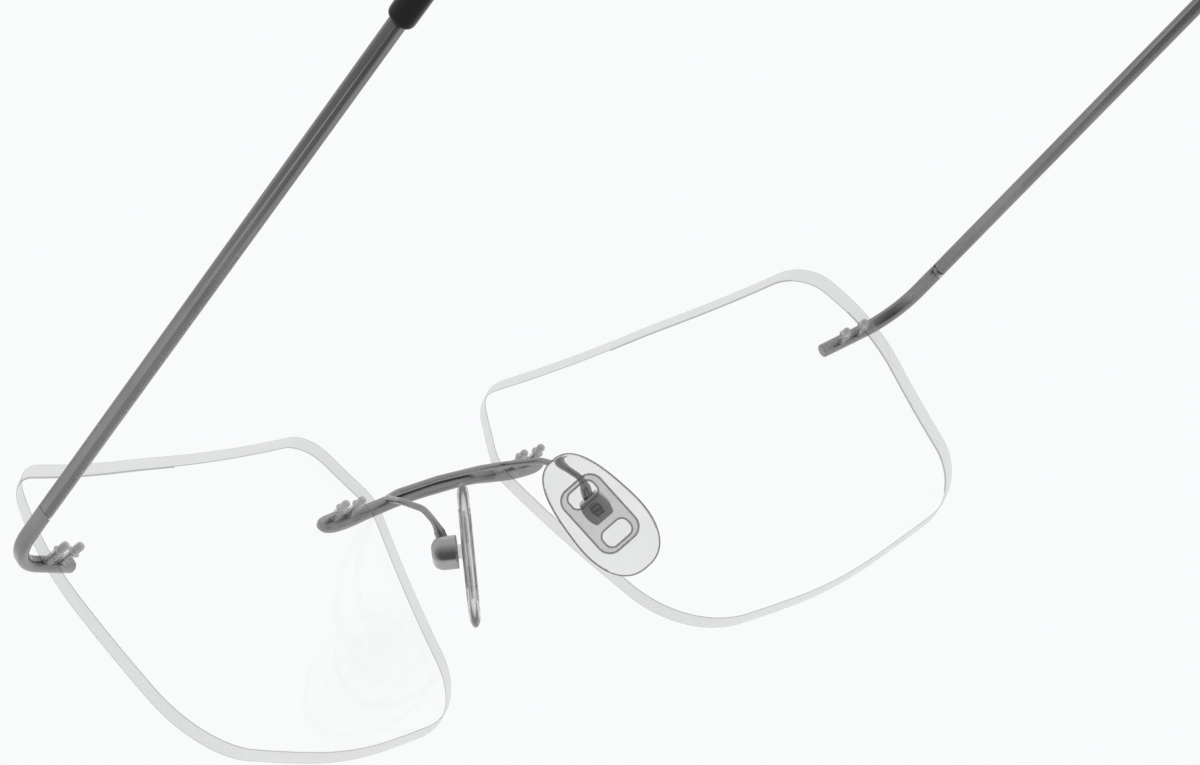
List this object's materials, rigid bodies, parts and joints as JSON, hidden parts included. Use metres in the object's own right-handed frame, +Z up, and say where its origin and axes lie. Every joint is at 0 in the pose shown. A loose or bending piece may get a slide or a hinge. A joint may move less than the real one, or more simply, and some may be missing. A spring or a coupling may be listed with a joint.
{
  "type": "eyeglasses",
  "caption": "Rimless eyeglasses: clear wrapped lenses pinned to a slim metal bridge and end pieces, wire pad arms with rocking silicone pads, slim folding temples with black tips.",
  "frame": {"origin": "under the middle of the open glasses' bounding box, on the plane that the lens bottoms and the temple tips stand on", "axes": "+X towards the wearer's left, +Y from the front back along the open temples, +Z up"},
  "size_m": [0.1438, 0.157, 0.0374],
  "materials": {
    "lens": "polished, anti-reflection coated clear plastic",
    "frame_metal": "satin grey titanium",
    "polished_metal": "polished",
    "pin_metal": "turned",
    "clear_plug": "clear moulded",
    "pad_silicone": "clear silicone",
    "pad_insert": "clear moulded",
    "tip_black": "polished black"
  },
  "bodies": {
    "front": {"bridge": "frame_metal", "bridge_pins": "pin_metal", "left_lens": "lens", "left_bridge_plugs": "clear_plug", "left_temple_plugs": "clear_plug", "left_pad_arm": "frame_metal", "left_pad_box": "polished_metal", "left_pad_pin": "pin_metal", "left_end_piece": "frame_metal", "left_end_piece_pins": "pin_metal", "left_hinge_pin": "pin_metal", "right_lens": "lens", "right_bridge_plugs": "clear_plug", "right_temple_plugs": "clear_plug", "right_pad_arm": "frame_metal", "right_pad_box": "polished_metal", "right_pad_pin": "pin_metal", "right_end_piece": "frame_metal", "right_end_piece_pins": "pin_metal", "right_hinge_pin": "pin_metal"},
    "left_temple_arm": {"left_temple": "frame_metal", "left_temple_tip": "tip_black"},
    "right_temple_arm": {"right_temple": "frame_metal", "right_temple_tip": "tip_black"},
    "left_pad": {"left_nose_pad": "pad_silicone", "left_pad_insert": "pad_insert"},
    "right_pad": {"right_nose_pad": "pad_silicone", "right_pad_insert": "pad_insert"}
  },
  "joints": [
    {"name": "left_temple_fold", "type": "hinge", "parent": "front", "child": "left_temple_arm", "pos_m": [0.06703, -0.0547, 0.02688], "axis": [0, 0, 1], "range_deg": [0, 90]},
    {"name": "right_temple_fold", "type": "hinge", "parent": "front", "child": "right_temple_arm", "pos_m": [-0.06703, -0.0547, 0.02688], "axis": [0, 0, -1], "range_deg": [0, 82]},
    {"name": "left_pad_rock", "type": "hinge", "parent": "front", "child": "left_pad", "pos_m": [0.01128, -0.06906, 0.01719], "axis": [-0.5763, -0.8109, -0.1018], "range_deg": [-8, 8]},
    {"name": "right_pad_rock", "type": "hinge", "parent": "front", "child": "right_pad", "pos_m": [-0.01128, -0.06906, 0.01719], "axis": [-0.5763, 0.8109, 0.1018], "range_deg": [-8, 8]}
  ]
}
